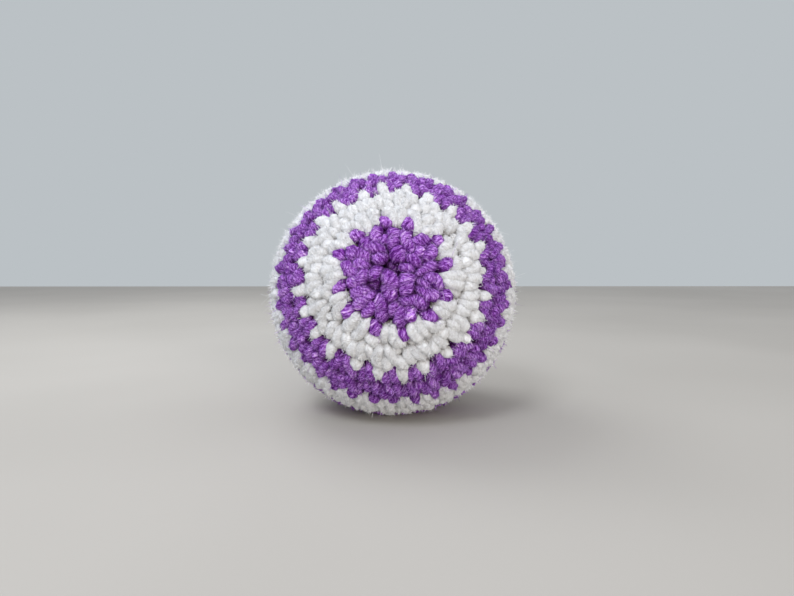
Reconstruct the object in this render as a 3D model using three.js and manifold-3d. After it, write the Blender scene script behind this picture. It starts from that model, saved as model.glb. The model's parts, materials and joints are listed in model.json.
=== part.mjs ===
// A crocheted footbag: a ball of single crochet in purple and white yarn, worked in rounds
// outwards from a starting ring and drawn shut at the back, over a cloth liner full of pellets.
// Millimetres, +Z up. The origin is the middle of the flat spot that the ball rests on, and the
// starting ring looks towards -Y.

import * as THREE from 'three';
import * as BufferGeometryUtils from 'three/addons/utils/BufferGeometryUtils.js';
import Module from 'manifold-3d';

const wasm = await Module();
wasm.setup();

// The ball
const ballRadius = 29; // over the crests of the stitches
const pressedDepth = 1.2; // how much of the underside its own weight presses flat
const poleTilt = 12; // degrees that the starting ring looks above the horizontal

// The rounds of crochet
const stitchesAdded = 6; // stitches that each round near a pole gains or loses
const wideningRounds = 6; // rounds from the starting ring to the full width
const evenRounds = 6; // rounds of the full width that follow
const roundsPerBand = 2; // rounds before the colour changes
const stitchLean = 4; // degrees that the stitches lean round the ball in each round
const changeTurn = 255; // degrees clockwise from the top where the colours change

// The fabric
const wallThickness = 6; // single crochet in a thick yarn
const ribRelief = 1; // from the crest of a stitch down to the furrow beside it
const rowRelief = 0.8; // from the crest of a round down to the furrow before the next
const toothReach = 2.6; // how far a colour's last loops reach between the next colour's stitches
const toothHalfWidth = 0.36; // of a stitch's width
const bandGap = 0.55; // between two bands, measured along the ball

// Where the rings lie in a round, as shares of its height
const firstCrest = 0.74; // of a band's first round, past the teeth of the band before
const laterCrest = 0.56;
const furrow = 0.12; // into the next round

// The yarn ends tied on the inside at each colour change
const tiedLength = 9;
const tiedRadius = 1.4; // of the knot
const tailRadius = 1; // of the two yarns where they leave the knot
const knotLength = 1.7; // from the middle of the knot to where it has narrowed away
const tiedSides = 8;
const tiedSteps = 8;

// The liner and the filling
const linerGap = 0.5; // between the fabric and the liner
const linerThickness = 0.6;
const linerSeamGap = 0.3; // between the two halves
const seamThreadRadius = 0.25;
const linerSides = 24;
const linerSteps = 7;
const fillGap = 0.7; // between the liner and the outermost pellets
const pelletRelief = 0.8; // from the top of a pellet down to the hollow between pellets
const fillLevel = 0.72; // height of the pellets' top above the ball's middle, of their radius
const fillSides = 36;
const fillSteps = 18;

const clearance = 0.3; // round a piece that lies in its own pocket

// Sizes that follow
const degree = Math.PI / 180;
const centreHeight = ballRadius - pressedDepth;
const innerRadius = ballRadius - wallThickness;
const linerRadius = innerRadius - linerGap;
const fillRadius = linerRadius - linerThickness - fillGap;
const stitchCounts = countStitches();
const roundAngle = 180 / (stitchCounts.length + 1); // half a round more at each pole
const bandCount = Math.ceil(stitchCounts.length / roundsPerBand);

const poleAxis = new THREE.Vector3(0, -Math.cos(poleTilt * degree), Math.sin(poleTilt * degree));
const rightAxis = new THREE.Vector3(1, 0, 0);
const topAxis = new THREE.Vector3().crossVectors(rightAxis, poleAxis).negate();
const latheAxis = new THREE.Vector3(0, 1, 0);

// Materials
const purple = { color: 0x8d50b4, roughness: 0.95, metalness: 0 };
const white = { color: 0xeceeec, roughness: 0.95, metalness: 0 };
const linerCloth = { color: 0xd9d0bd, roughness: 0.9, metalness: 0 };
const linerThread = { color: 0xf3efe6, roughness: 0.8, metalness: 0 };
const pellets = { color: 0xcfd8dc, roughness: 0.5, metalness: 0 };

// Stitches in each round: widening, even, then narrowing again to the closing round
function countStitches() {
  const counts = [];
  for (let round = 1; round <= wideningRounds; round++) {
    counts.push(stitchesAdded * round);
  }
  for (let round = 0; round < evenRounds; round++) {
    counts.push(stitchesAdded * wideningRounds);
  }
  for (let round = wideningRounds - 1; round >= 1; round--) {
    counts.push(stitchesAdded * round);
  }
  return counts;
}

// The way out from the ball's middle at a polar angle from the starting ring and a turn
// clockwise from the top, both in degrees
function direction(polar, turn) {
  const across = Math.sin(polar * degree);
  return new THREE.Vector3()
    .addScaledVector(poleAxis, Math.cos(polar * degree))
    .addScaledVector(topAxis, across * Math.cos(turn * degree))
    .addScaledVector(rightAxis, across * Math.sin(turn * degree));
}

// The turn of a share of a round, which leans as the stitches do
function leaningTurn(share, polar) {
  return changeTurn + 360 * share - (stitchLean * polar) / roundAngle;
}

// A point of the outside, a depth below the stitches' crests and flat where the ball rests
function outsidePoint(share, polar, depth) {
  const way = direction(polar, leaningTurn(share, polar));
  const point = way.clone().multiplyScalar(ballRadius - depth);
  if (way.z * ballRadius < -centreHeight || point.z < -centreHeight) {
    point.z = -centreHeight;
  }
  return { share, point };
}

function insidePoint(share, polar) {
  const point = direction(polar, leaningTurn(share, polar)).multiplyScalar(innerRadius);
  return { share, point };
}

// A ring over one round's stitches, with a crest on each and a furrow between
function crestRing(round, polar) {
  const count = 2 * stitchCounts[round - 1];
  const ring = [];
  for (let i = 0; i < count; i++) {
    const onCrest = i % 2 === round % 2;
    ring.push(outsidePoint(i / count, polar, onCrest ? 0 : ribRelief));
  }
  return ring;
}

// A ring down in the furrow between two rounds of a band
function furrowRing(count, polar) {
  const ring = [];
  for (let i = 0; i < count; i++) {
    ring.push(outsidePoint(i / count, polar, rowRelief));
  }
  return ring;
}

// The toothed edge between two colours: each stitch below sends one tooth outwards
function toothRing(edge, side) {
  const count = edgeTeeth(edge);
  const low = edgePolar(edge, side);
  const high = low + toothReach / ballRadius / degree;
  const ring = [];
  for (let i = 0; i < count; i++) {
    const crest = i + ((roundsPerBand * edge) % 2) / 2;
    ring.push(outsidePoint(crest / count, high, rowRelief));
    ring.push(outsidePoint((crest + toothHalfWidth) / count, low, rowRelief));
    ring.push(outsidePoint((crest + 1 - toothHalfWidth) / count, low, rowRelief));
  }
  return ring;
}

function insideRing(count, polar) {
  const ring = [];
  for (let i = 0; i < count; i++) {
    ring.push(insidePoint(i / count, polar));
  }
  return ring;
}

function edgeTeeth(edge) {
  return stitchCounts[roundsPerBand * edge - 1];
}

// Side is 1 for the band after the edge, -1 for the band before it
function edgePolar(edge, side) {
  const halfGap = bandGap / 2 / ballRadius / degree;
  return edge * roundsPerBand * roundAngle + side * halfGap;
}

// Triangles between two rings with any numbers of points, as both go once round
function joinRings(a, b, triangles) {
  const after = (ring, i) => (i + 1 < ring.length ? ring[i + 1].share : 1);
  const index = (ring, i) => ring[i % ring.length].index;
  let i = 0;
  let j = 0;
  const aEnd = a.length > 1 ? a.length : 0;
  const bEnd = b.length > 1 ? b.length : 0;
  while (i < aEnd || j < bEnd) {
    const gapAhead = after(a, i) - after(b, j);
    const aFirst = gapAhead < 0 || (gapAhead === 0 && a.length > b.length);
    if (j >= bEnd || (i < aEnd && aFirst)) {
      triangles.push(index(a, i), index(a, i + 1), index(b, j));
      i++;
    } else {
      triangles.push(index(a, i), index(b, j + 1), index(b, j));
      j++;
    }
  }
}

// A closed solid skinned over rings in order, which end in two poles or close on the first
function skin(rings) {
  const positions = [];
  const triangles = [];
  for (const ring of rings) {
    for (const vertex of ring) {
      vertex.index = positions.length / 3;
      positions.push(vertex.point.x, vertex.point.y, vertex.point.z);
    }
  }
  const open = rings[0].length === 1;
  const strips = open ? rings.length - 1 : rings.length;
  for (let i = 0; i < strips; i++) {
    joinRings(rings[i], rings[(i + 1) % rings.length], triangles);
  }
  const geometry = new THREE.BufferGeometry();
  geometry.setAttribute('position', new THREE.Float32BufferAttribute(positions, 3));
  geometry.setIndex(triangles);
  return geometry;
}

// The crests and furrows of a band's rounds, in order; the closing round's run on to the pole
function bandRelief(band) {
  const rings = [];
  for (let i = 0; i < roundsPerBand; i++) {
    const past = roundsPerBand * (band - 1) + i;
    const round = Math.min(past + 1, stitchCounts.length);
    const next = Math.min(past + 2, stitchCounts.length);
    rings.push(crestRing(round, (past + (i === 0 ? firstCrest : laterCrest)) * roundAngle));
    if (i + 1 < roundsPerBand) {
      const count = Math.max(stitchCounts[round - 1], stitchCounts[next - 1]);
      rings.push(furrowRing(count, (past + 1 + furrow) * roundAngle));
    }
  }
  return rings;
}

// The rings of a band's first and last side, in order over them
function firstSide(band) {
  const edge = band - 1;
  return [insideRing(edgeTeeth(edge), edgePolar(edge, 1)), toothRing(edge, 1)];
}

function lastSide(band) {
  return [toothRing(band, -1), insideRing(edgeTeeth(band), edgePolar(band, -1))];
}

// One colour's rounds, as a thick band of fabric, or a cap at either pole
function bandGeometry(band) {
  const crests = bandRelief(band);
  const widest = Math.max(...crests.map((ring) => ring.length)) / 2;
  const lining = insideRing(widest, (band - 0.5) * roundsPerBand * roundAngle);
  if (band === 1) {
    const poles = [[outsidePoint(0, 0, 0)], [insidePoint(0, 0)]];
    return skin([poles[0], ...crests, ...lastSide(band), lining, poles[1]]);
  }
  if (band === bandCount) {
    const poles = [[insidePoint(0, 180)], [outsidePoint(0, 180, 0)]];
    return skin([poles[0], lining, ...firstSide(band), ...crests, poles[1]]);
  }
  return skin([lining, ...firstSide(band), ...crests, ...lastSide(band)]);
}

// The two yarn ends and their knot, along its own Y, larger all round by a margin
function tiedEndsGeometry(margin) {
  const halfLength = tiedLength / 2 + margin;
  const profile = [new THREE.Vector2(0, -halfLength)];
  for (let i = 0; i <= tiedSteps; i++) {
    const along = (i / tiedSteps - 0.5) * tiedLength;
    const knot = Math.exp(-((along / knotLength) ** 2));
    const radius = tailRadius + (tiedRadius - tailRadius) * knot + margin;
    profile.push(new THREE.Vector2(radius, along * (1 + margin / tiedLength)));
  }
  profile.push(new THREE.Vector2(0, halfLength));
  return new THREE.LatheGeometry(profile, tiedSides);
}

// Where the ends of one colour change lie: along the round, against the liner
function placeTiedEnds(object, edge) {
  const polar = edge * roundsPerBand * roundAngle;
  const turn = leaningTurn(0, polar);
  const along = direction(90, turn + 90);
  object.position.copy(direction(polar, turn).multiplyScalar(linerRadius + clearance + tiedRadius));
  object.quaternion.setFromUnitVectors(latheAxis, along);
  object.updateMatrix();
}

// A geometry as a solid that can be cut, without the empty triangles that a lathe leaves at its poles
function toSolid(geometry) {
  const bare = geometry.clone();
  bare.deleteAttribute('normal');
  bare.deleteAttribute('uv');
  const merged = BufferGeometryUtils.mergeVertices(bare);
  const corners = merged.index.array;
  const triangles = [];
  for (let i = 0; i < corners.length; i += 3) {
    const [a, b, c] = corners.slice(i, i + 3);
    if (a !== b && b !== c && c !== a) {
      triangles.push(a, b, c);
    }
  }
  return new wasm.Manifold(
    new wasm.Mesh({
      numProp: 3,
      vertProperties: new Float32Array(merged.attributes.position.array),
      triVerts: new Uint32Array(triangles),
    }),
  );
}

function toGeometry(solid) {
  const mesh = solid.getMesh();
  const geometry = new THREE.BufferGeometry();
  geometry.setAttribute('position', new THREE.Float32BufferAttribute(mesh.vertProperties, 3));
  geometry.setIndex(new THREE.Uint32BufferAttribute(mesh.triVerts, 1));
  geometry.computeVertexNormals();
  return geometry;
}

// The pocket that the fabric closes round one colour change's tied ends
function pocketSolid(edge) {
  const holder = new THREE.Object3D();
  placeTiedEnds(holder, edge);
  return toSolid(tiedEndsGeometry(clearance).applyMatrix4(holder.matrix));
}

function makeBand(band, name) {
  let solid = toSolid(bandGeometry(band));
  for (const edge of [band - 1, band]) {
    if (edge >= 1 && edge < bandCount) {
      solid = solid.subtract(pocketSolid(edge));
    }
  }
  return namedMesh(name, toGeometry(solid), bandColour(band));
}

function bandColour(band) {
  return band % 2 === 1 ? purple : white;
}

function bandName(band) {
  const tint = band % 2 === 1 ? 'purple' : 'white';
  if (band === 1) {
    return `${tint}_start_cap`;
  }
  return band === bandCount ? `${tint}_closing_cap` : `${tint}_band_${Math.floor(band / 2)}`;
}

function makeTiedEnds(edge) {
  const mesh = namedMesh(`tied_ends_${edge}`, tiedEndsGeometry(0), bandColour(edge));
  placeTiedEnds(mesh, edge);
  return mesh;
}

// Half of the liner about its own Y, its rim bevelled for the seam thread
function linerHalfGeometry() {
  const seamRoom = seamThreadRadius + clearance;
  const rim = Math.asin(seamRoom / linerRadius);
  const innerLinerRadius = linerRadius - linerThickness;
  const profile = [];
  for (let i = 0; i <= linerSteps; i++) {
    const up = (Math.PI / 2) * (1 - i / linerSteps);
    const height = Math.max(innerLinerRadius * Math.sin(up), linerSeamGap / 2);
    profile.push(new THREE.Vector2(innerLinerRadius * Math.cos(up), height));
  }
  for (let i = 0; i <= linerSteps; i++) {
    const up = rim + (Math.PI / 2 - rim) * (i / linerSteps);
    profile.push(new THREE.Vector2(linerRadius * Math.cos(up), linerRadius * Math.sin(up)));
  }
  profile[0].x = 0;
  profile[profile.length - 1].x = 0;
  return new THREE.LatheGeometry(profile, linerSides);
}

function seamThreadGeometry() {
  const sides = 6;
  const profile = [];
  for (let i = 0; i <= sides; i++) {
    const angle = (i / sides) * 2 * Math.PI;
    profile.push(
      new THREE.Vector2(
        linerRadius + seamThreadRadius * Math.cos(angle),
        seamThreadRadius * Math.sin(angle),
      ),
    );
  }
  profile[sides].copy(profile[0]);
  return new THREE.LatheGeometry(profile, linerSides);
}

// The liner round the poles' axis: two halves and the thread between them
function makeLiner() {
  const liner = new THREE.Group();
  liner.quaternion.setFromUnitVectors(latheAxis, poleAxis);
  const front = namedMesh('liner_front_half', linerHalfGeometry(), linerCloth);
  const rear = namedMesh('liner_rear_half', linerHalfGeometry(), linerCloth);
  rear.rotation.x = Math.PI;
  liner.add(front, rear, namedMesh('liner_seam_thread', seamThreadGeometry(), linerThread));
  return liner;
}

// The heap of pellets, lumpy all over and level on top, which leaves the bag a little slack
function makeFilling() {
  const geometry = new THREE.SphereGeometry(fillRadius, fillSides, fillSteps);
  geometry.rotateX(Math.PI / 2);
  geometry.deleteAttribute('normal');
  geometry.deleteAttribute('uv');
  const heap = BufferGeometryUtils.mergeVertices(geometry);
  const positions = heap.attributes.position;
  const point = new THREE.Vector3();
  for (let i = 0; i < positions.count; i++) {
    point.fromBufferAttribute(positions, i);
    const turn = Math.atan2(point.y, point.x) * (fillSides / 2);
    const row = Math.acos(THREE.MathUtils.clamp(point.z / fillRadius, -1, 1)) * fillSteps;
    const hollow = 0.5 - 0.5 * Math.cos(turn) * Math.cos(row);
    point.multiplyScalar(1 - (pelletRelief * hollow) / fillRadius);
    point.z = Math.min(point.z, fillLevel * fillRadius);
    positions.setXYZ(i, point.x, point.y, point.z);
  }
  heap.computeVertexNormals();
  return namedMesh('pellet_fill', heap, pellets);
}

function namedMesh(name, geometry, look) {
  const mesh = new THREE.Mesh(geometry, new THREE.MeshStandardMaterial(look));
  mesh.name = name;
  return mesh;
}

const footbag = new THREE.Group();
footbag.name = 'crocheted_footbag';
const ball = new THREE.Group();
ball.position.z = centreHeight;
for (let band = 1; band <= bandCount; band++) {
  ball.add(makeBand(band, bandName(band)));
}
for (let edge = 1; edge < bandCount; edge++) {
  ball.add(makeTiedEnds(edge));
}
ball.add(makeLiner());
ball.add(makeFilling());
footbag.add(ball);

export default footbag;
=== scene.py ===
import json
import math
import bmesh
import bpy
import numpy as np
from mathutils import Matrix, Vector

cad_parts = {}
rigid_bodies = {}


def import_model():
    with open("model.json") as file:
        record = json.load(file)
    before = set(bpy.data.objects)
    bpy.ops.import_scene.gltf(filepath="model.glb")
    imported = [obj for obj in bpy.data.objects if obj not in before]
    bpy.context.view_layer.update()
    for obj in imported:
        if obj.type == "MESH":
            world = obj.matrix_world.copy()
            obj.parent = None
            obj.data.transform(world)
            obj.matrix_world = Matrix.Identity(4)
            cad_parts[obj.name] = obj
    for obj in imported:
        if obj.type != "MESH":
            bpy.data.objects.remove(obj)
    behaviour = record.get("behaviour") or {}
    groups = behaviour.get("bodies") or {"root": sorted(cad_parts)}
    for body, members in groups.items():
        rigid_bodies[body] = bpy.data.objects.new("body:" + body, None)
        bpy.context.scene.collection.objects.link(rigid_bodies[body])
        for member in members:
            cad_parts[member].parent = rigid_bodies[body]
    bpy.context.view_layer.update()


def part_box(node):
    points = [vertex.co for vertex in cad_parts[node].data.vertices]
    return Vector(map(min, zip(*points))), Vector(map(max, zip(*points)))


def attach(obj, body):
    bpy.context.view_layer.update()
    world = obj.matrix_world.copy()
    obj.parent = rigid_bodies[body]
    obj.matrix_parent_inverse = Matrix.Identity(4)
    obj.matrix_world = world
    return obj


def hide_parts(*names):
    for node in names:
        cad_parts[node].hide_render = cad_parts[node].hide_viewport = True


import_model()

mm = 0.001
scene = bpy.context.scene
rng = np.random.default_rng(11)

ball = {
    "radius": 29.0,  # over the crests of the stitches
    "pressed": 1.2,  # flattened underneath by its own weight
    "poleTilt": 12.0,  # the starting ring looks this far above the horizontal
    "roundAngle": 10.0,  # one round of crochet, seen from the middle of the ball
    "changeTurn": 255.0,  # where the colours change, clockwise from the top
}
middle = np.array([0, 0, ball["radius"] - ball["pressed"]])
tilt = math.radians(ball["poleTilt"])
poleAxis = np.array([0, -math.cos(tilt), math.sin(tilt)])
topAxis = np.array([0, math.sin(tilt), math.cos(tilt)])
rightAxis = np.array([1.0, 0, 0])

# camera, lights and floor
camera = {
    "distance": 140, "elevation": 4, "lens": 26, "sensor": 36,
    "aimRight": 0.98, "aimDown": 1.1,  # from the middle of the ball
}
studio = {
    "world": 0.73, "worldColour": (0.935, 0.97, 1.06, 1),
    "backdrop": "#BBC1C5", "floorColours": ("#ABA79E", "#B2AEA5"),
    "floorSize": 1.03,  # metres, so that its far edge shows behind the ball
}
lamps = {  # places and sizes in metres, power in watts
    "key": {"place": (-0.13, -0.25, 0.33), "power": 0.66, "size": 0.12,
            "colour": (0.92, 0.965, 1.08)},
    "fill": {"place": (0.39, -1.08, 0.064), "power": 12.4, "size": 0.90,
             "colour": (1.02, 0.915, 0.83)},
    "rim": {"place": (-0.15, 0.15, 0.30), "power": 0.54, "size": 0.20,
            "colour": (0.95, 0.98, 1.04)},
}


# an sRGB hex colour as linear RGBA
def linear(text):
    parts = [int(text[i:i + 2], 16) / 255 for i in (1, 3, 5)]
    return [p / 12.92 if p <= 0.04045 else ((p + 0.055) / 1.055) ** 2.4 for p in parts] + [1]


def newMaterial(name):
    made = bpy.data.materials.new(name)
    made.use_nodes = True
    made.node_tree.nodes.clear()
    return made


# one node with its settings, each input given a value or joined to an output; gives an output back
def addNode(material, kind, inputs, out=0, stops=(), **settings):
    node = material.node_tree.nodes.new(kind)
    for name, value in settings.items():
        setattr(node, name, value)
    for name, value in inputs.items():
        socket = node.inputs[name]
        if not socket.enabled:  # a Mix node has one A and one B for each kind of data
            socket = next(x for x in node.inputs if x.name == name and x.enabled)
        if isinstance(value, bpy.types.NodeSocket):
            material.node_tree.links.new(value, socket)
        else:
            socket.default_value = value
    for k, (place, colour) in enumerate(stops):  # of a colour ramp, which starts with two
        edges = node.color_ramp.elements
        edge = edges[k] if k < len(edges) else edges.new(place)
        edge.position, edge.color = place, linear(colour)
    return None if out is None else node.outputs[out]


# the shader itself, with plain values on its own sockets
def finishMaterial(material, inputs):
    shader = addNode(material, "ShaderNodeBsdfPrincipled", inputs)
    addNode(material, "ShaderNodeOutputMaterial", {"Surface": shader}, out=None)
    return material


def aim(thing, place, target):
    thing.location = place
    thing.rotation_euler = (Vector(target) - Vector(place)).to_track_quat("-Z", "Y").to_euler()


def makeCamera():
    data = bpy.data.cameras.new("camera")
    data.lens, data.sensor_width, data.clip_start = camera["lens"], camera["sensor"], 5 * mm
    thing = bpy.data.objects.new("camera", data)
    scene.collection.objects.link(thing)
    rise = math.radians(camera["elevation"])
    place = middle + camera["distance"] * np.array([0, -math.cos(rise), math.sin(rise)])
    target = middle + np.array([camera["aimRight"], 0, -camera["aimDown"]])
    aim(thing, place * mm, target * mm)
    scene.camera = thing


def makeLamp(name, place, power, size, colour):
    data = bpy.data.lights.new(name, "AREA")
    data.size, data.energy, data.color = size, power, colour
    thing = bpy.data.objects.new(name, data)
    scene.collection.objects.link(thing)
    aim(thing, place, middle * mm)


def makeStudio():
    world = bpy.data.worlds.new("studio")
    scene.world = world
    world.use_nodes = True
    world.node_tree.nodes.clear()
    light = addNode(world, "ShaderNodeBackground",
                    {"Color": studio["worldColour"], "Strength": studio["world"]})
    seen = addNode(world, "ShaderNodeBackground",
                   {"Color": linear(studio["backdrop"]), "Strength": 1.0})
    rays = [addNode(world, "ShaderNodeLightPath", {}, out=f"Is {kind} Ray")
            for kind in ("Camera", "Glossy", "Transmission")]
    direct = addNode(world, "ShaderNodeMath", {0: rays[0], 1: rays[1]}, operation="MAXIMUM")
    direct = addNode(world, "ShaderNodeMath", {0: direct, 1: rays[2]}, operation="MAXIMUM")
    either = addNode(world, "ShaderNodeMixShader", {0: direct, 1: light, 2: seen})
    addNode(world, "ShaderNodeOutputWorld", {"Surface": either}, out=None)
    for name, lamp in lamps.items():
        makeLamp(name, **lamp)
    # painted board: a plain pale matt sheet
    board = newMaterial("painted_board")
    place = addNode(board, "ShaderNodeTexCoord", {}, out="Object")
    mottle = addNode(board, "ShaderNodeTexNoise", {"Vector": place, "Scale": 9.0, "Detail": 2.0})
    tone = addNode(board, "ShaderNodeValToRGB", {"Fac": mottle},
                   stops=zip((0.3, 0.7), studio["floorColours"]))
    finishMaterial(board, {"Base Color": tone, "Roughness": 0.9})
    mesh = bpy.data.meshes.new("floor")
    bm = bmesh.new()
    bmesh.ops.create_grid(bm, x_segments=2, y_segments=2, size=studio["floorSize"] / 2)
    bm.to_mesh(mesh)
    bm.free()
    mesh.materials.append(board)
    floor = bpy.data.objects.new("floor", mesh)
    scene.collection.objects.link(floor)
    scene.view_settings.view_transform = "Standard"


makeCamera()
makeStudio()
print("camera, lights and floor are made")

# the path of the yarn through the stitches
yarn = {
    "diameter": 2.3,  # of a strand that nothing squeezes
    "frontReach": 2.05,  # from the middle of the fabric to the strands in front
    "backReach": 1.75,  # and to the strands behind
    "lean": 0.35,  # stitch widths that a stitch's top lies past its foot
    "plyTurn": 4.5,  # length of strand in which the plies turn once
    "plies": 6,  # an even number, so that the pattern meets itself round the strand
    "sides": 10,
    "meshStep": 0.6,  # between the rings of the finished strand
    "bloom": {"purple": 1.03, "white": 1.07},  # how far the fluff swells past where strands touch
    "slubs": 0.03 / 1.4,  # wander of the thickness over each of two lengths, 0.03 for both together
    "slubLengths": (2.4, 1.1),
    "rough": 0.08,  # how far the fluffy surface wanders in and out
    # painted shade: a strand's side counts this many millimetres deeper, so its sides are painted
    # darker than its top
    "sideShade": {"purple": 1.2, "white": 0.6},  # millimetres deeper that a strand's side counts
    "overFloor": 0.05,  # where it is pressed flat
}
settling = {
    "spacing": 0.8,  # between the points that settle
    "passes": 45,
    "squeeze": 0.79,  # how near two strands come, of the two radii together
    "push": 0.35,  # share of an overlap that one pass undoes
    "stiffness": 0.2,
    "lengthPull": 0.25,  # share of a stretch that each end takes back
    "homePull": 0.03,
    "searchEvery": 4,  # passes between looks for what lies near
    "searchReach": 1.1,  # diameters
    "ownReach": 1.25,  # diameters along itself within which a strand doesn't push itself
    "pastInside": 0.5, "pastOutside": 0.2,  # how far a strand may leave the fabric's thickness
}
stitchCounts = [6, 12, 18, 24, 30] + [36] * 7 + [30, 24, 18, 12, 6]
doubledIn = {2: 0, 3: 0, 4: 1, 5: 3, 6: 3}  # which stitch of each sixth is worked twice
midRadius = ball["radius"] - yarn["frontReach"] - yarn["diameter"] / 2


# points on the ball: degrees clockwise from the top, degrees from the ring, millimetres
def ballPoints(turn, polar, height):
    turn, polar = np.radians(turn), np.radians(polar)
    across = np.sin(polar)
    way = (np.cos(polar)[..., None] * poleAxis + (across * np.cos(turn))[..., None] * topAxis
           + (across * np.sin(turn))[..., None] * rightAxis)
    return way * (midRadius + np.asarray(height, float))[..., None]


# where the next round goes in: twice in some loops while it widens, two at once as it closes
def workedHoles(links, count, number):
    group = max(1, len(links) // 6)
    holes = []
    if count > len(links):
        for k, link in enumerate(links):
            holes += [link] * (2 if k % group == doubledIn[number] % group else 1)
        return holes
    if count == len(links):
        return list(links)
    merged = (group // 2 + 3 * (number % 2)) % (group - 1) if group > 1 else 0
    k = 0
    while k < len(links):
        if k % group == merged and group > 1:
            holes.append((links[k] + links[k + 1]) / 2)
            k += 2
        else:
            holes.append(links[k])
            k += 1
    return holes


# the tops and the holes of each round's stitches, in degrees, in the order they are worked
def planRounds():
    heads = ball["changeTurn"] - np.arange(stitchCounts[0]) * 60.0
    plans = [{"heads": heads, "holes": heads + yarn["lean"] * 60, "step": 60.0}]
    for count in stitchCounts[1:]:
        below = plans[-1]["heads"]
        holes = np.array(workedHoles(below - 180.0 / len(below), count, len(plans) + 1))
        step = 360.0 / len(holes)
        along = np.arange(len(holes)) * step
        first = np.mean(holes - yarn["lean"] * step + along)
        plans.append({"heads": first - along, "holes": holes, "step": step})
    return plans


# one stitch: widths across, rounds out, height in the fabric, share of the full thickness
def stitchRows(r, lam):
    f, b, top = yarn["frontReach"], -yarn["backReach"], r + 0.5
    return np.array([
        (-0.25, r - 0.35, b, 0.8), (-0.08, r - 0.80, b * 0.95, 0.65),  # down behind
        (-0.04, r - 1.02, 0.1, 0.5),  # through the hole to the front
        (-0.11, r - 0.93, f * 0.70, 0.62), (-0.15, r - 0.68, f, 0.88), (-0.17, r - 0.36, f, 1.08),
        (-0.15, r - 0.08, f * 0.85, 1.12), (-0.04, r + 0.14, f * 0.2, 0.75),  # first leg of the V
        (lam - 0.25, top - 0.20, -0.8, 0.55), (lam + 0.0, top + 0.05, -1.2, 0.55),
        (lam + 0.25, top - 0.20, -0.7, 0.55), (lam + 0.24, r + 0.14, f * 0.3, 0.78),
        (lam + 0.15, r - 0.08, f * 0.85, 1.12), (lam + 0.03, r - 0.36, f, 1.1),  # second leg
        (0.24, r - 0.66, f, 0.9), (0.12, r - 0.91, f * 0.70, 0.64),
        (0.05, r - 1.02, 0.1, 0.5),  # back through the hole
        (0.10, r - 0.80, b * 0.95, 0.65), (0.15, r - 0.3, b, 0.8),
        (lam - 0.05, top - 0.28, b * 0.85, 0.7), (lam - 0.02, top - 0.13, -0.5, 0.65),
        (lam + 0.08, top - 0.32, 0.9, 0.85), (lam + 0.28, top - 0.24, 1.0, 0.95),  # loop in front
        (lam + 0.50, top - 0.22, 0.7, 0.9), (lam + 0.74, top - 0.40, 1.0, 1.05),
        (lam + 0.95, top - 0.30, 1.7, 1.3), (lam + 1.05, top - 0.02, 2.1, 1.05),
        (lam + 1.14, top + 0.26, 1.9, 0.66), (lam + 1.20, top + 0.43, 1.2, 0.42),
        (lam + 1.20, top + 0.25, -0.6, 0.45),
        (lam + 0.95, top + 0.02, -1.2, 0.6), (lam + 0.6, top + 0.0, -1.3, 0.65),  # loop behind
        (lam + 0.3, top - 0.05, -1.3, 0.65), (lam + 0.38, top - 0.3, -1.8, 0.7),
    ])


unevenness = {"across": 0.03, "out": 0.025, "height": 0.10, "thickness": 0.04}
fuller = {2: 1.16, 3: 0.98}  # thickness of the yarn in front, in the rounds where it isn't 1
inFront = 0.5  # height above which yarn counts as in front
# the loop in front ends in a point, and the second round's is drawn in: rounds, height, thickness
pointRound, pointRows = 2, slice(-8, -5)
pointPull = ((-0.06, 0, 0.1), (-0.16, 0, 0.3), (-0.26, 0, 0.1))


# turn, polar angle, height and thickness of a band's yarn, two rounds from first
def bandRows(plans, first):
    rows = []
    for r in range(first, min(first + 2, len(plans) + 1)):
        if r == 1:
            rows.append(ringRows())
            continue
        plan = plans[r - 1]
        for hole, head in zip(plan["holes"], plan["heads"]):
            stitch = stitchRows(r, (hole - head) / plan["step"])
            stitch[stitch[:, 2] > inFront, 3] *= fuller.get(r, 1)
            if r == pointRound:
                stitch[pointRows, 1:] += pointPull
            for column, share in enumerate(unevenness.values()):
                whole, each = rng.normal(0, share), rng.normal(0, share, len(stitch))
                if column == 3:
                    stitch[:, column] *= 1 + whole + each
                else:
                    stitch[:, column] += whole + each
            stitch[:, 0] = hole - stitch[:, 0] * plan["step"]
            stitch[:, 1] *= ball["roundAngle"]
            rows.append(stitch)
    return np.vstack(rows)


ringFullness = 1.06  # times each thickness that follows
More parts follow.
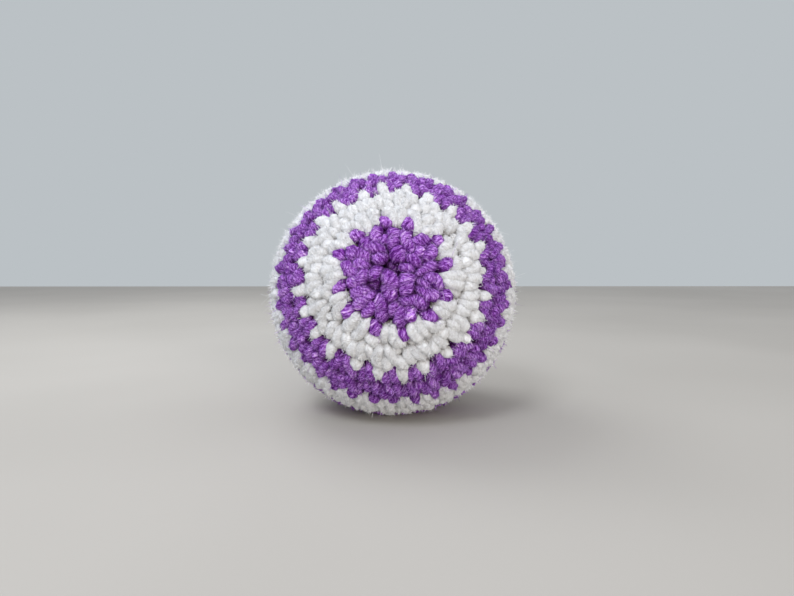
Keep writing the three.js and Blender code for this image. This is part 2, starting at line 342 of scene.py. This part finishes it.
# the first ring over the middle: millimetres right and up of the pole, height, thickness
firstRing = np.array([
    (-0.6, 1.2, -1.5, 0.7), (-0.9, 0.8, 0.9, 1.0), (-1.0, -0.6, 2.3, 1.5),  # the start, folded over
    (-0.6, -2.8, 2.8, 1.75), (0.0, -5.0, 2.4, 1.45), (0.5, -6.3, 1.0, 0.9), (1.4, -5.6, -0.4, 0.7),
    (2.0, -4.4, 0.9, 1.0), (2.9, -3.0, 1.9, 1.4), (3.3, -1.4, 2.1, 1.5), (2.8, 0.3, 1.1, 1.0),
    (2.0, 0.6, -0.4, 0.6), (1.2, 1.2, 1.0, 0.75), (3.0, 1.3, 1.9, 0.9), (4.8, 1.0, 1.3, 0.8),
    (5.8, 1.2, -0.3, 0.6), (5.6, 2.2, 1.2, 0.95), (4.4, 3.2, 2.0, 1.15), (3.2, 4.2, 1.3, 0.9),
    (3.0, 4.6, -0.2, 0.7), (2.6, 3.2, 1.2, 1.1), (1.3, 4.2, 2.3, 1.55), (-0.2, 5.2, 2.0, 1.35),
    (-1.0, 5.9, 0.6, 0.9), (-1.2, 4.6, -0.4, 0.6), (-1.0, 3.7, 1.0, 0.85), (-3.0, 3.7, 2.0, 1.15),
    (-5.0, 3.2, 1.6, 1.0), (-6.2, 2.4, -0.3, 0.6), (-6.4, -0.8, 1.0, 0.85), (-4.6, 0.0, 2.2, 1.1),
    (-2.6, 1.0, 1.5, 0.85), (-2.2, 0.4, -0.3, 0.6), (-2.8, -1.6, 0.9, 0.9), (-3.8, -3.2, 1.4, 1.0),
    (-4.8, -4.4, 1.0, 0.9), (-4.0, -5.4, -0.2, 0.8), (-1.6, -4.4, -0.2, 0.9), (1.0, -3.6, 0.0, 0.9),
    (4.0, -4.4, 0.4, 0.9), (5.6, -2.4, 0.8, 1.0), (5.4, -0.4, 0.4, 0.9),
    (5.0, -2.6, -0.5, 1.1), (3.4, -4.2, -0.5, 1.1), (0.8, -4.2, -0.5, 1.1), (1.8, -2.0, -0.5, 1.1),
    (0.4, -0.4, -0.6, 1.1), (-2.4, -1.2, -0.6, 1.1), (-4.2, -3.0, -0.5, 1.1),
    (-5.4, -1.6, -0.5, 1.1), (-4.4, 1.2, -0.6, 1.1), (-2.0, 2.2, -0.6, 1.1), (0.8, 2.4, -0.5, 1.1),
    (3.4, 2.2, -0.6, 1.1), (2.2, 0.6, -0.2, 1.1), (0.7, 0.2, 0.1, 1.15), (-1.3, 1.5, 0.1, 1.2),
    (0.4, 3.0, -0.6, 1.0), (4.6, 4.0, -1.0, 0.9), (0.0, 5.4, -1.9, 0.8), (-4.6, 3.0, -1.9, 0.8),
])


def ringRows():
    right, up, height, thickness = firstRing.T
    return np.column_stack([
        np.degrees(np.arctan2(right, up)), np.degrees(np.hypot(right, up) / ball["radius"]),
        height, thickness * ringFullness])


def evenPoints(fine, spacing):
    seg = np.linalg.norm(np.diff(fine[:, :3], axis=0), axis=1)
    along = np.concatenate([[0], np.cumsum(seg)])
    want = np.linspace(0, along[-1], max(4, int(round(along[-1] / spacing)) + 1))
    return np.column_stack([np.interp(want, along, column) for column in fine.T])


# a smooth line through the points, then points on it at an even spacing
def smoothLine(points, spacing, steps=6):
    p = np.vstack([2 * points[0] - points[1], points, 2 * points[-1] - points[-2]])
    t = (np.arange(steps) / steps)[:, None]
    out = [
        0.5 * (2 * b + (c - a) * t + (2 * a - 5 * b + 4 * c - d) * t**2
               + (3 * b - a - 3 * c + d) * t**3)
        for a, b, c, d in zip(p[:-3], p[1:-2], p[2:-1], p[3:])
    ]
    return evenPoints(np.vstack(out + [points[-1:]]), spacing)


# pairs of points nearer than reach, found cell by cell
def closePairs(points, reach):
    cells = np.floor(points / reach).astype(np.int64)
    cells -= cells.min(axis=0)
    size = cells.max(axis=0) + 3
    key = ((cells[:, 0] + 1) * size[1] + cells[:, 1] + 1) * size[2] + cells[:, 2] + 1
    order = np.argsort(key, kind="stable")
    ranked = key[order]
    firsts, seconds = [], []
    steps = np.array([(x, y, z) for x in (-1, 0, 1) for y in (-1, 0, 1) for z in (-1, 0, 1)])
    for offset in (steps[:, 0] * size[1] + steps[:, 1]) * size[2] + steps[:, 2]:
        if offset < 0:
            continue
        low = np.searchsorted(ranked, key + offset, "left")
        count = np.searchsorted(ranked, key + offset, "right") - low
        i = np.repeat(np.arange(len(points)), count)
        within = np.arange(count.sum()) - np.repeat(np.cumsum(count) - count, count)
        j = order[np.repeat(low, count) + within]
        if offset == 0:
            i, j = i[i < j], j[i < j]
        firsts.append(i)
        seconds.append(j)
    i, j = np.concatenate(firsts), np.concatenate(seconds)
    near = np.linalg.norm(points[i] - points[j], axis=1) < reach
    return i[near], j[near]


# strands push each other apart while each keeps its length and stays near its place
def settle(lines):
    ends = np.cumsum([0] + [len(x) for x in lines])
    everything = np.vstack(lines)
    p, thick = everything[:, :3].copy(), everything[:, 3]
    home, half = p.copy(), thick * yarn["diameter"] / 2
    line = np.repeat(np.arange(len(lines)), np.diff(ends))
    skip = int(math.ceil(yarn["diameter"] * settling["ownReach"] / settling["spacing"]))
    inner = np.ones(len(p), bool)
    inner[ends[:-1]] = inner[ends[1:] - 1] = False
    inside = np.where(inner)[0]
    rest = np.linalg.norm(np.diff(p, axis=0), axis=1)
    same = line[1:] == line[:-1]
    lowest = -middle[2] + half
    for step in range(settling["passes"]):
        if step % settling["searchEvery"] == 0:
            i, j = closePairs(p, yarn["diameter"] * settling["searchReach"])
            keep = (line[i] != line[j]) | (np.abs(i - j) > skip)
            i, j = i[keep], j[keep]
            apart = settling["squeeze"] * (half[i] + half[j])
        gap = p[i] - p[j]
        dist = np.maximum(np.linalg.norm(gap, axis=1), 1e-6)
        over = np.clip(apart - dist, 0, None)
        push = gap * (over * settling["push"] / dist)[:, None]
        hits = np.bincount(i, over > 0, len(p)) + np.bincount(j, over > 0, len(p))
        for axis in range(3):
            moved = np.bincount(i, push[:, axis], len(p)) - np.bincount(j, push[:, axis], len(p))
            p[:, axis] += moved / np.maximum(1, np.sqrt(hits))
        p[inside] += settling["stiffness"] * (0.5 * (p[inside - 1] + p[inside + 1]) - p[inside])
        for _ in range(2):
            d = p[1:] - p[:-1]
            length = np.maximum(np.linalg.norm(d, axis=1), 1e-6)
            stretch = np.where(same, (length - rest) / length, 0)
            shift = d * (stretch * settling["lengthPull"])[:, None]
            p[:-1] += shift
            p[1:] -= shift
        p += settling["homePull"] * (home - p)
        reach = np.linalg.norm(p, axis=1)
        least = midRadius - yarn["backReach"] - settling["pastInside"]
        most = ball["radius"] - half + settling["pastOutside"]
        p *= (np.clip(reach, least, most) / reach)[:, None]
        p[:, 2] = np.maximum(p[:, 2], lowest)
    return [np.column_stack([p[a:b], thick[a:b]]) for a, b in zip(ends[:-1], ends[1:])]


tie = {
    "nodes": [f"tied_ends_{k}" for k in range(1, 9)],
    "thickness": 0.52,  # of the full yarn's, as it is pulled tight
    "tails": 2.12, "points": 34,  # how far the curve below is followed each way
    "scale": (0.55, 0.3, 0.185),
}


# the two ends at a colour change, tied in one overhand knot against the inside of the cover
def tiedLine(node):
    low, high = (np.array(corner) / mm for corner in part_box(node))
    spot = (low + high) / 2 - middle
    out = spot / np.linalg.norm(spot)
    along = np.cross(poleAxis, out)
    along /= np.linalg.norm(along)
    t = np.linspace(-tie["tails"], tie["tails"], tie["points"])
    knot = np.column_stack([t**3 - 3 * t, t**4 - 4 * t**2 + 1.5, t**5 - 10 * t]) * tie["scale"]
    points = spot + knot @ np.array([np.cross(out, along), out, along])
    return np.column_stack([points, np.full(len(points), tie["thickness"])])


def yarnLines():
    plans = planRounds()
    lines = []
    for first in range(1, len(stitchCounts) + 1, 2):
        rows = bandRows(plans, first)
        points = np.column_stack([ballPoints(rows[:, 0], rows[:, 1], rows[:, 2]), rows[:, 3]])
        lines.append(smoothLine(points, settling["spacing"]))
    lines += [smoothLine(tiedLine(node), settling["spacing"]) for node in tie["nodes"]]
    settled = settle(lines)
    return settled[:-len(tie["nodes"])], settled[-len(tie["nodes"]):]


bands, ties = yarnLines()
print("the yarn is settled:", sum(len(x) for x in bands), "points")


# a ring of points for a curve to carry along
def roundProfile(name, radius, count):
    curve = bpy.data.curves.new(name, "CURVE")
    curve.dimensions = "2D"
    spline = curve.splines.new("POLY")
    spline.points.add(count - 1)
    for k, point in enumerate(spline.points):
        turn = 2 * math.pi * k / count
        point.co = (radius * math.cos(turn), radius * math.sin(turn), 0, 1)
    spline.use_cyclic_u = True
    thing = bpy.data.objects.new(name, curve)
    scene.collection.objects.link(thing)
    return thing


# a curve's mesh, with the curve itself taken away
def curveMesh(name, curve):
    thing = bpy.data.objects.new(name + "Curve", curve)
    scene.collection.objects.link(thing)
    seen = thing.evaluated_get(bpy.context.evaluated_depsgraph_get())
    mesh = bpy.data.meshes.new_from_object(seen)
    bpy.data.objects.remove(thing)
    mesh.name = name
    bm = bmesh.new()
    bm.from_mesh(mesh)
    if bm.calc_volume(signed=True) < 0:
        bmesh.ops.reverse_faces(bm, faces=bm.faces)
    bm.to_mesh(mesh)
    bm.free()
    return mesh


# a strand, with its grain and its depth in the fabric on its points; its material paints shade by
# the depth
def strandMesh(name, colour, line, profile):
    fine = smoothLine(line, yarn["meshStep"])
    for length in yarn["slubLengths"]:  # slow and quick changes of thickness along the strand
        marks = rng.normal(0, yarn["slubs"], int(len(fine) * yarn["meshStep"] / length) + 3)
        fine[:, 3] *= 1 + np.interp(np.arange(len(fine)) * yarn["meshStep"] / length,
                                    np.arange(len(marks)), marks)
    curve = bpy.data.curves.new(name, "CURVE")
    curve.dimensions, curve.bevel_mode, curve.bevel_object = "3D", "OBJECT", profile
    curve.use_fill_caps, curve.twist_mode = True, "MINIMUM"
    spline = curve.splines.new("POLY")
    spline.points.add(len(fine) - 1)
    spline.use_smooth = True
    points = np.column_stack([(fine[:, :3] + middle) * mm, np.ones(len(fine))])
    seg = np.linalg.norm(np.diff(fine[:, :3], axis=0), axis=1)
    along = np.concatenate([[0], np.cumsum(seg)])
    spline.points.foreach_set("co", points.astype(np.float32).ravel())
    spline.points.foreach_set("radius", fine[:, 3].astype(np.float32))
    mesh = curveMesh(name, curve)
    sides = yarn["sides"]
    index = np.arange(len(mesh.vertices))
    ring, side = np.minimum(index // sides, len(fine) - 1), index % sides
    centre, place = points[ring, :3], np.empty(3 * len(index))
    mesh.vertices.foreach_get("co", place)
    place = place.reshape(-1, 3)
    swell = yarn["bloom"][colour] + rng.normal(0, yarn["rough"], len(index))
    place = centre + (place - centre) * swell[:, None]
    place[:, 2] = np.maximum(place[:, 2], yarn["overFloor"] * mm)
    mesh.vertices.foreach_set("co", place.ravel())
    turn = 2 * math.pi * side / sides
    half = yarn["diameter"] / 2
    grain = np.column_stack([half * np.cos(turn), half * np.sin(turn), along[ring]])
    outward, spoke = place / mm - middle, place - centre
    reach = np.linalg.norm(outward, axis=1)
    facing = np.sum(spoke * outward, axis=1) / (np.linalg.norm(spoke, axis=1) * reach + 1e-9)
    # millimetres below the crests, and more round the side of the strand: by this the material
    # paints shade into the crevices and down the strand's sides
    depth = ball["radius"] - reach + yarn["sideShade"][colour] * (1 - facing)
    mesh.attributes.new("grain", "FLOAT_VECTOR", "POINT").data.foreach_set(
        "vector", grain.astype(np.float32).ravel())
    mesh.attributes.new("depth", "FLOAT", "POINT").data.foreach_set(
        "value", depth.astype(np.float32))
    return mesh


# soft milk cotton, plied and slightly brushed: painted highlight on the ply tops and painted shade
# in the grooves between them, short fibre streaks along each ply whose brightest are painted
# highlight, over the yarn's own uneven tone, and a velvety edge. Six plies that turn once in 4.5 mm
# lie 0.64 mm apart. A cotton fibre is about 0.02 mm thick, too fine to show, so the streaks are 0.2
# to 0.3 mm wide.
def yarnMaterial(name, look):
    made = newMaterial(name)
    maths = "ShaderNodeMath"
    grain = addNode(made, "ShaderNodeAttribute", {}, out="Vector", attribute_name="grain")
    depth = addNode(made, "ShaderNodeAttribute", {}, out="Fac", attribute_name="depth")
    side, up, along = (addNode(made, "ShaderNodeSeparateXYZ", {"Vector": grain}, out=axis)
                       for axis in "XYZ")
    wander = addNode(made, "ShaderNodeTexNoise", {"Vector": grain, "Scale": 0.7, "Detail": 1.0})
    turn = addNode(made, maths, {0: up, 1: side}, operation="ARCTAN2")
    twisted = addNode(made, maths, {0: along, 1: 2 * math.pi / yarn["plyTurn"], 2: turn},
                      operation="MULTIPLY_ADD")
    bent = addNode(made, maths, {0: wander, 1: look["wander"], 2: twisted},
                   operation="MULTIPLY_ADD")
    wave = addNode(made, maths, {0: bent, 1: yarn["plies"] / 2}, operation="MULTIPLY")
    wave = addNode(made, maths, {0: wave}, operation="SINE")
    ply = addNode(made, maths, {0: wave}, operation="ABSOLUTE")
    right = addNode(made, maths, {0: bent}, operation="COSINE")
    front = addNode(made, maths, {0: bent}, operation="SINE")
    along = addNode(made, maths, {0: along, 1: look["streak"]}, operation="MULTIPLY")
    fibreAt = addNode(made, "ShaderNodeCombineXYZ", {"X": right, "Y": front, "Z": along})
    fibre = addNode(made, "ShaderNodeTexNoise", {
        "Vector": fibreAt, "Scale": look["fibreScale"], "Detail": 3.0, "Roughness": 0.65})
    patch = addNode(made, "ShaderNodeTexNoise", {"Vector": grain, "Scale": 0.45, "Detail": 2.0})
    # the ply pattern raises the bump and, through the colour ramp, paints the grooves darker and
    # the ply tops paler: painted shade and highlight
    reliefAndPaintedLight = addNode(made, maths, {0: ply, 1: look["plyShare"], 2: fibre}, operation="MULTIPLY_ADD")
    mixed = addNode(made, maths, {0: patch, 1: look["patchShare"], 2: reliefAndPaintedLight},
                    operation="MULTIPLY_ADD")
    half = addNode(made, maths, {0: mixed, 1: 0.5}, operation="MULTIPLY")
    # the ramp's dark end is painted shade and its pale end painted highlight; the noise between
    # gives the yarn's own uneven tone
    colour = addNode(made, "ShaderNodeValToRGB", {"Fac": half}, stops=look["tones"])
    # painted shade: the deeper a point lies, or the further round a strand's side, the more its
    # colour turns to the dark deep colour
    paintedShadeShare = addNode(made, "ShaderNodeMapRange", {
        "Value": depth, "From Min": look["paintedShadeDepths"][0], "From Max": look["paintedShadeDepths"][1],
        "To Min": 0.0, "To Max": 1.0}, interpolation_type=look["paintedShadeCurve"])
    shaded = addNode(made, "ShaderNodeMix",
                     {"Factor": paintedShadeShare, "A": colour, "B": linear(look["paintedShadeColour"])},
                     out=2, data_type="RGBA")
    bump = addNode(made, "ShaderNodeBump",
                   {"Height": reliefAndPaintedLight, "Strength": 1.0, "Distance": look["bump"]})
    return finishMaterial(made, {
        "Base Color": shaded, "Normal": bump, "Roughness": 0.75, "Specular IOR Level": 0.08,
        "Sheen Weight": look["sheen"], "Sheen Roughness": 0.4,
        "Sheen Tint": linear(look["sheenTint"])})


# each ramp of tones runs from painted shade in the ply grooves to painted highlight on the ply tops
# and fibre streaks
looks = {
    # in each look the deep colour is painted shade, mixed in by depth in the crevices and round the
    # strands' sides
    "purple_yarn": yarnMaterial("purple_milk_cotton", {
        "tones": [(0.27, "#44085E"), (0.35, "#8640AB"), (0.42, "#CC92F2"), (0.49, "#FFE2FF")],
        "paintedShadeColour": "#32033C", "paintedShadeDepths": (0.4, 2.4), "paintedShadeCurve": "LINEAR",
        "sheen": 0.03, "sheenTint": "#D8B4F2", "plyShare": 0.12, "patchShare": 0.3,
        "wander": 1.6, "streak": 1.0, "fibreScale": 5.6, "bump": 0.00050}),
    "white_yarn": yarnMaterial("white_milk_cotton", {
        "tones": [(0.26, "#D4D4D3"), (0.35, "#E6E8E9"), (0.42, "#F0F3F5"), (0.50, "#FBFDFF")],
        "paintedShadeColour": "#837C76", "paintedShadeDepths": (0.4, 2.6), "paintedShadeCurve": "SMOOTHSTEP",
        "sheen": 0.35, "sheenTint": "#FFFFFF", "plyShare": 0.08, "patchShare": 0.3,
        "wander": 2.2, "streak": 1.6, "fibreScale": 3.4, "bump": 0.00055}),
}
bandNodes = ["purple_start_cap", "white_band_1", "purple_band_1", "white_band_2", "purple_band_2",
             "white_band_3", "purple_band_3", "white_band_4", "purple_closing_cap"]


def addPiece(name, mesh, material, slot, *nodes):
    mesh.materials.clear()
    mesh.materials.append(material)
    thing = bpy.data.objects.new(name, mesh)
    scene.collection.objects.link(thing)
    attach(thing, "root")
    if nodes:
        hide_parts(*nodes)
    return thing


profile = roundProfile("strandSection", yarn["diameter"] / 2 * mm, yarn["sides"])


def addStrand(name, colour, line, node):
    slot = colour + "_yarn"
    return addPiece(name, strandMesh(name, colour, line, profile), looks[slot], slot, node)


for node, line in zip(bandNodes, bands):
    piece = addStrand(node + "_stitches", node.split("_")[0], line, node)
for k, (node, line) in enumerate(zip(tie["nodes"], ties)):
    addStrand(node + "_knot", ("purple", "white")[k % 2], line, node)
bpy.data.objects.remove(profile)
print("the bands are meshes")

# fuzz: loose fibre ends that stand off the brushed yarn. They are drawn thicker than the 0.02 mm of
# one fibre, so that they show, and each stands for a small tuft. So many grow at each point of the
# settled strand, none nearer to the floor than above.
fuzz = {
    "haze": {"each": {"purple": 4.5, "white": 9.0}, "diameter": 0.155, "length": 0.56,
             "spread": 0.4, "lean": 0.8, "curl": 0.0, "cuts": 0, "above": 2.0},
    "strays": {"each": {"purple": 0.6, "white": 1.1}, "diameter": 0.08, "length": 0.72,
               "spread": 0.32, "lean": 0.8, "curl": 0.9, "cuts": 1, "above": 11.0},
}
tuft = {
    "outOfFabric": 1.4,  # least height of the strand it grows on, so none in the crevices
    "outward": 1.1, "scatter": 0.65,  # which side of the strand it grows on
    "lift": 0.3,  # how much it leans outwards
    "root": 0.47,  # of the strand's diameter, from its middle
    "longest": 1.8,
    "rootRadius": 0.5, "tipRadius": 0.12,  # of its own diameter
    "overFloor": 0.1,
}


# turned and stretched copies of one small shape, whose own length runs from 0 to 1 along Z
def copiesMesh(name, bm, roots, across, along, bends):
    bmesh.ops.triangulate(bm, faces=bm.faces)
    one = np.array([vert.co for vert in bm.verts])
    sides = np.array([[vert.index for vert in face.verts] for face in bm.faces])
    bm.free()
    points = roots[:, None] + sum(one[None, :, k, None] * way[:, None]
                                  for k, way in enumerate(across))
    points += one[None, :, 2, None] * along[:, None] + one[None, :, 2, None]**2 * bends[:, None]
    faces = np.arange(len(roots))[:, None, None] * len(one) + sides[None]
    mesh = bpy.data.meshes.new(name)
    mesh.from_pydata(points.reshape(-1, 3), [], faces.reshape(-1, 3).tolist())
    mesh.shade_smooth()
    return mesh


# one kind of fuzz over the outside of a band: so many fibres for each point of the settled line
def fuzzMesh(name, colour, kind, line):
    points, forward = line[1:-1], line[2:, :3] - line[:-2, :3]
    reach = np.linalg.norm(points[:, :3], axis=1)
    clear = points[:, 2] > kind["above"] - middle[2]
    outer = np.where(clear & (reach > midRadius + tuft["outOfFabric"]))[0]
    pick = rng.choice(outer, int(len(outer) * kind["each"][colour]))
    strand, out = forward[pick], points[pick, :3] / reach[pick, None]
    strand = strand / np.linalg.norm(strand, axis=1)[:, None]
    normal = out * tuft["outward"] + rng.normal(0, tuft["scatter"], out.shape)
    normal -= strand * np.sum(normal * strand, axis=1)[:, None]
    normal /= np.linalg.norm(normal, axis=1)[:, None]
    way = normal + rng.normal(0, kind["lean"], out.shape) + out * tuft["lift"]
    way /= np.linalg.norm(way, axis=1)[:, None]
    roots = points[pick, :3] + normal * (points[pick, 3] * yarn["diameter"] * tuft["root"])[:, None]
    roots += strand * rng.uniform(-0.5, 0.5, (len(pick), 1)) * settling["spacing"]
    lowest = tuft["overFloor"] - middle[2]
    roots[:, 2] = np.maximum(roots[:, 2], lowest)
    length = kind["length"] * rng.lognormal(0, kind["spread"], (len(pick), 1))
    length = np.minimum(length, tuft["longest"])
    bends = rng.normal(0, kind["curl"], out.shape) * length
    first = np.cross(way, rng.normal(0, 1, out.shape))
    first *= kind["diameter"] / np.linalg.norm(first, axis=1)[:, None]
    bm = bmesh.new()
    bmesh.ops.create_cone(bm, cap_ends=True, segments=3, radius1=tuft["rootRadius"],
                          radius2=tuft["tipRadius"], depth=1.0)
    bmesh.ops.translate(bm, verts=bm.verts, vec=(0, 0, 0.5))
    if kind["cuts"]:
        upright = [e for e in bm.edges if abs(e.verts[0].co.z - e.verts[1].co.z) > 0.5]
        bmesh.ops.subdivide_edges(bm, edges=upright, cuts=kind["cuts"])
    bm.verts.index_update()
    tips = roots + way * length + bends
    bends[:, 2] += np.maximum(0, lowest - tips[:, 2])  # nothing goes through the floor
    return copiesMesh(name, bm, (roots + middle) * mm, (first * mm, np.cross(way, first) * mm),
                      way * length * mm, bends * mm)


# single cotton fibres, matt, mottled darker and paler at random; the pale end is painted highlight,
# standing for fibres that catch the light
def fibreMaterial(name, tones):
    made = newMaterial(name)
    place = addNode(made, "ShaderNodeTexCoord", {}, out="Object")
    mottle = addNode(made, "ShaderNodeTexNoise", {"Vector": place, "Scale": 700.0, "Detail": 1.0})
    colour = addNode(made, "ShaderNodeValToRGB", {"Fac": mottle}, stops=tones)
    return finishMaterial(made, {
        "Base Color": colour, "Roughness": 0.8, "Specular IOR Level": 0.05})


fibres = {
    # the pale tone of each is painted highlight
    "purple": fibreMaterial("purple_cotton_fibre", [(0.36, "#5C2282"), (0.64, "#D2A0F6")]),
    "white": fibreMaterial("white_cotton_fibre", [(0.3, "#E4E5E5"), (0.7, "#F8FAFB")]),
}
for node, line in zip(bandNodes, bands):
    colour = node.split("_")[0]
    for kind in fuzz:
        name = f"{node}_{kind}"
        addPiece(name, fuzzMesh(name, colour, fuzz[kind], line), fibres[colour], colour + "_yarn")
haze = [thing for thing in bpy.data.objects if "haze" in thing.name]
print("the fuzz is made:", sum(len(thing.data.polygons) for thing in haze), "faces of haze")

# inside: the liner, its seam and the pellets
liner = {
    "gathers": 22, "gatherDepth": 0.25,
    "gatherFade": 0.28,  # radians from the edge over which the pleats fade
    "edge": 0.15,  # from the middle of the seam to the cloth's edge
    "clothThickness": 0.5,
}
seam = {
    "stitches": 84, "steps": 12,  # points of the thread in each stitch
    "thread": 0.42,
    "inside": 0.25,  # from the cloth's outside in to the middle of a stitch
    "out": 0.42, "over": 0.55,  # half a stitch's size, out of the ball and over the edge
}
pellets = {
    "across": 3.1, "spacing": 3.0, "jitter": 0.07,
    "slack": 0.97,  # size of a pellet, of the place it has
    "thickness": 0.86,
}


def clothMaterial():
    # unbleached cotton calico, plain woven: threads 0.5 mm apart and a few darker slubs
    made = newMaterial("cotton_calico")
    place = addNode(made, "ShaderNodeTexCoord", {}, out="Object")
    weaves = [addNode(made, "ShaderNodeTexWave",
                      {"Vector": place, "Scale": 320.0, "Distortion": 1.2},
                      out="Fac", bands_direction=way) for way in ("X", "Z")]
    weave = addNode(made, "ShaderNodeMath", {0: weaves[0], 1: weaves[1]}, operation="MULTIPLY")
    slub = addNode(made, "ShaderNodeTexNoise", {"Vector": place, "Scale": 260.0, "Detail": 2.0})
    mixed = addNode(made, "ShaderNodeMath", {0: slub, 1: 0.7, 2: weave}, operation="MULTIPLY_ADD")
    colour = addNode(made, "ShaderNodeValToRGB", {"Fac": mixed},
                     stops=[(0.3, "#C3B79D"), (1.0, "#E3DAC4")])
    bump = addNode(made, "ShaderNodeBump", {"Height": mixed, "Strength": 0.6, "Distance": 0.0001})
    return finishMaterial(made, {"Base Color": colour, "Normal": bump, "Roughness": 0.9,
                                 "Specular IOR Level": 0.2, "Sheen Weight": 0.2})


def plainMaterial(name, scale, tones, height, sockets):
    made = newMaterial(name)
    place = addNode(made, "ShaderNodeTexCoord", {}, out="Object")
    mottle = addNode(made, "ShaderNodeTexNoise", {"Vector": place, "Scale": scale, "Detail": 2.0})
    colour = addNode(made, "ShaderNodeValToRGB", {"Fac": mottle}, stops=tones)
    bump = addNode(made, "ShaderNodeBump", {"Height": mottle, "Strength": 0.4, "Distance": height})
    return finishMaterial(made, {"Base Color": colour, "Normal": bump} | sockets)


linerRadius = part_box("liner_front_half")[1].x / mm


def linerHalf(node, side, material):
    # a disc of calico gathered over half the ball, so half a sphere with small pleats at its edge
    bm = bmesh.new()
    bmesh.ops.create_uvsphere(bm, u_segments=96, v_segments=48, radius=linerRadius)
    bmesh.ops.bisect_plane(bm, geom=bm.verts[:] + bm.edges[:] + bm.faces[:], dist=1e-5,
                           plane_co=(0, 0, liner["edge"]), plane_no=(0, 0, 1), clear_inner=True)
    for vert in bm.verts:
        rise = math.asin(min(1, vert.co.z / linerRadius))
        turn = math.atan2(vert.co.y, vert.co.x)
        fold = math.cos(liner["gathers"] * turn) * math.exp(-rise / liner["gatherFade"]) - 1
        vert.co *= 1 + liner["gatherDepth"] * fold / linerRadius
    turned = Vector(poleAxis * side).to_track_quat("Z", "Y").to_matrix().to_4x4()
    bm.transform(Matrix.Translation(Vector(middle) * mm) @ turned @ Matrix.Scale(mm, 4))
    mesh = bpy.data.meshes.new(node + "_cloth")
    bm.to_mesh(mesh)
    bm.free()
    mesh.shade_smooth()
    cloth = addPiece(node + "_cloth", mesh, material, "liner_cloth", node)
    solid = cloth.modifiers.new("cloth", "SOLIDIFY")
    solid.thickness, solid.offset = liner["clothThickness"] * mm, -1


def seamThread():
    # whip stitches over the edge where the two halves meet
    count = seam["stitches"] * seam["steps"]
    turn = np.linspace(0, 2 * math.pi, count, endpoint=False)
    wrap = turn * seam["stitches"]
    reach = linerRadius - seam["inside"] + seam["out"] * np.cos(wrap)
    way = np.cos(turn)[:, None] * topAxis + np.sin(turn)[:, None] * rightAxis
    points = way * reach[:, None] + poleAxis * (seam["over"] * np.sin(wrap))[:, None] + middle
    curve = bpy.data.curves.new("liner_whip_stitches", "CURVE")
    curve.dimensions, curve.bevel_resolution = "3D", 1
    curve.bevel_depth = seam["thread"] / 2 * mm
    spline = curve.splines.new("POLY")
    spline.points.add(count - 1)
    spline.points.foreach_set(
        "co", np.column_stack([points * mm, np.ones(count)]).astype(np.float32).ravel())
    spline.use_cyclic_u, spline.use_smooth = True, True
    mesh = curveMesh("liner_whip_stitches", curve)
    # waxed cotton sewing thread: smooth, pale, a slight shine
    waxed = plainMaterial("waxed_cotton_thread", 2600.0, [(0.3, "#DCD6C8"), (0.7, "#F2EEE4")],
                          0.00005, {"Roughness": 0.5, "Sheen Weight": 0.1})
    addPiece("liner_whip_stitches", mesh, waxed, "liner_thread", "liner_seam_thread")


def makePellets():
    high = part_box("pellet_fill")[1]
    reach = high.x / mm - pellets["across"] / 2
    top = high.z / mm - middle[2] - pellets["across"] / 2
    size = pellets["spacing"]
    steps = np.arange(-10, 11)
    grid = np.array([(x, y, z) for x in steps for y in steps for z in steps], float)
    spots = np.column_stack([  # layers of a close packing
        (2 * grid[:, 0] + (grid[:, 1] + grid[:, 2]) % 2) / 2,
        math.sqrt(3) * (grid[:, 1] + (grid[:, 2] % 2) / 3) / 2,
        math.sqrt(6) / 3 * grid[:, 2]]) * size
    spots = spots[(np.linalg.norm(spots, axis=1) < reach) & (spots[:, 2] < top)]
    bm = bmesh.new()  # one pellet, then turned copies of it
    bmesh.ops.create_uvsphere(bm, u_segments=8, v_segments=6,
                              radius=pellets["across"] / 2 * pellets["slack"])
    one = np.array([vert.co for vert in bm.verts]) * (1, 1, pellets["thickness"])
    sides = [[vert.index for vert in face.verts] for face in bm.faces]
    bm.free()
    points, faces = [], []
    for spot in spots + rng.normal(0, pellets["jitter"], spots.shape):
        turned = np.array(Vector(rng.normal(0, 1, 3)).to_track_quat("Z", "Y").to_matrix())
        faces += [[len(points) * len(one) + k for k in face] for face in sides]
        points.append((one @ turned.T + spot + middle) * mm)
    mesh = bpy.data.meshes.new("pellets")
    mesh.from_pydata(np.vstack(points), [], faces)
    mesh.shade_smooth()
    # recycled polypropylene pellets: satin, slightly uneven from the cutter
    plastic = plainMaterial("polypropylene_pellet", 420.0, [(0.3, "#C2CBD0"), (0.7, "#DDE3E6")],
                            0.0001, {"Roughness": 0.42, "IOR": 1.49})
    print("pellets:", len(spots))
    addPiece("pellets", mesh, plastic, "pellets", "pellet_fill")


makePellets()
calico = clothMaterial()
linerHalf("liner_front_half", 1, calico)
linerHalf("liner_rear_half", -1, calico)
seamThread()
print("the liner and the pellets are made")
